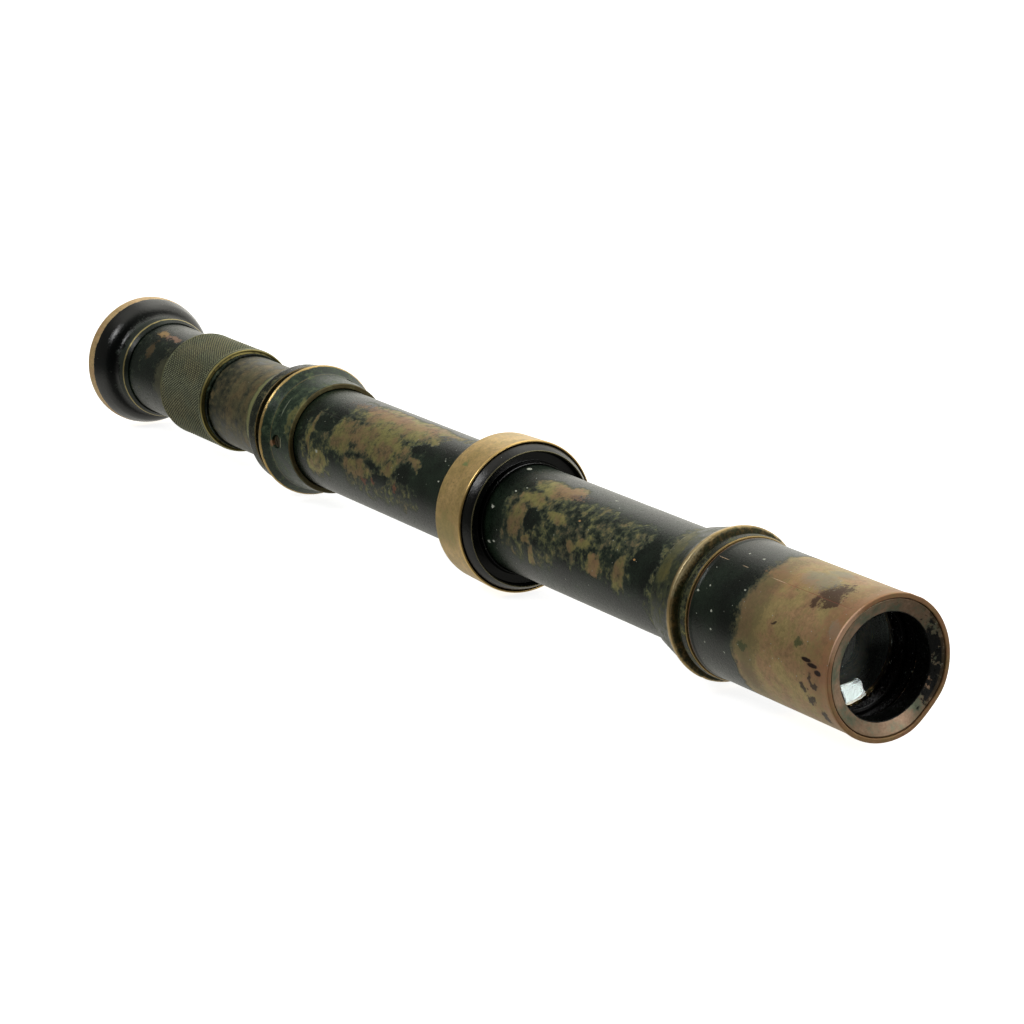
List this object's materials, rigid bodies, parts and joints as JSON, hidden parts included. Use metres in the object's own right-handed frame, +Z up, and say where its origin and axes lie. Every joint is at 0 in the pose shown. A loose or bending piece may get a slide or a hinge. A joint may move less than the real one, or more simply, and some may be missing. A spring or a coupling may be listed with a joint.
{
  "type": "sighting telescope",
  "caption": "Straight brass refracting sighting telescope with a knurled focusing ring, flared eyecup, mounting flange, bearing collar and wide objective barrel.",
  "frame": {"origin": "on the optical axis, half-way between the front edge of the objective barrel and the back of the eyecup", "axes": "+X along the optical axis from the eyepiece to the objective, +Z up, set screw 1 faces -Y"},
  "size_m": [0.545, 0.0586, 0.0586],
  "materials": {
    "enamel": "worn black-green enamel, semi-gloss",
    "gloss_black": "gloss black enamel, brass bare at the edges",
    "bare_brass": "bare brass with brown patina, satin",
    "aged_brass": "aged olive brass, satin",
    "knurled_brass": "knurled, darkened",
    "matt_black": "matt optical black",
    "screw_steel": "darkened, slotted",
    "glass": "polished optical glass"
  },
  "bodies": {
    "telescope_body": {"main_tube": "enamel", "mounting_flange": "enamel", "eyepiece_housing": "enamel", "middle_collar_lock_ring": "gloss_black", "flange_back_ring": "gloss_black", "objective_barrel": "bare_brass", "middle_collar": "bare_brass", "objective_spacer": "bare_brass", "objective_bezel": "aged_brass", "front_collar": "aged_brass", "front_collar_ring": "aged_brass", "focusing_ring_washer": "aged_brass", "focusing_ring_nut": "aged_brass", "objective_cell": "matt_black", "objective_lock_ring": "matt_black", "barrel_baffle": "matt_black", "tube_baffle_front": "matt_black", "tube_baffle_rear": "matt_black", "erector_support_front": "matt_black", "erector_support_rear": "matt_black", "erector_tube": "matt_black", "erector_front_retainer": "matt_black", "erector_rear_retainer": "matt_black", "erector_stop": "matt_black", "flange_spacer": "matt_black", "graticule_cell": "matt_black", "graticule_retainer": "matt_black", "flange_set_screw_1": "screw_steel", "flange_set_screw_2": "screw_steel", "flange_set_screw_3": "screw_steel", "focusing_guide_screw": "screw_steel", "objective_crown_lens": "glass", "objective_flint_lens": "glass", "erector_front_lens": "glass", "erector_rear_lens": "glass", "graticule_glass": "glass"},
    "focusing_ring": {"focusing_ring": "knurled_brass"},
    "eyepiece": {"eye_tube": "enamel", "eyecup_seat_ring": "aged_brass", "eyecup": "gloss_black", "eye_lens_cell": "matt_black", "field_lens": "glass", "eyepiece_spacer": "matt_black", "eye_lens": "glass", "eye_lens_retainer": "matt_black"}
  },
  "joints": [
    {"name": "focus_turn", "type": "hinge", "parent": "telescope_body", "child": "focusing_ring", "pos_m": [-0.1905, 0, 0], "axis": [1, 0, 0], "range_deg": [-120, 120]},
    {"name": "eyepiece_slide", "type": "slide", "parent": "telescope_body", "child": "eyepiece", "axis": [-1, 0, 0], "range_m": [-0.0048, 0.0048]}
  ],
  "couplings": [
    {"joint": "focus_turn", "follows": "eyepiece_slide", "rad_per_m": 434.78}
  ]
}
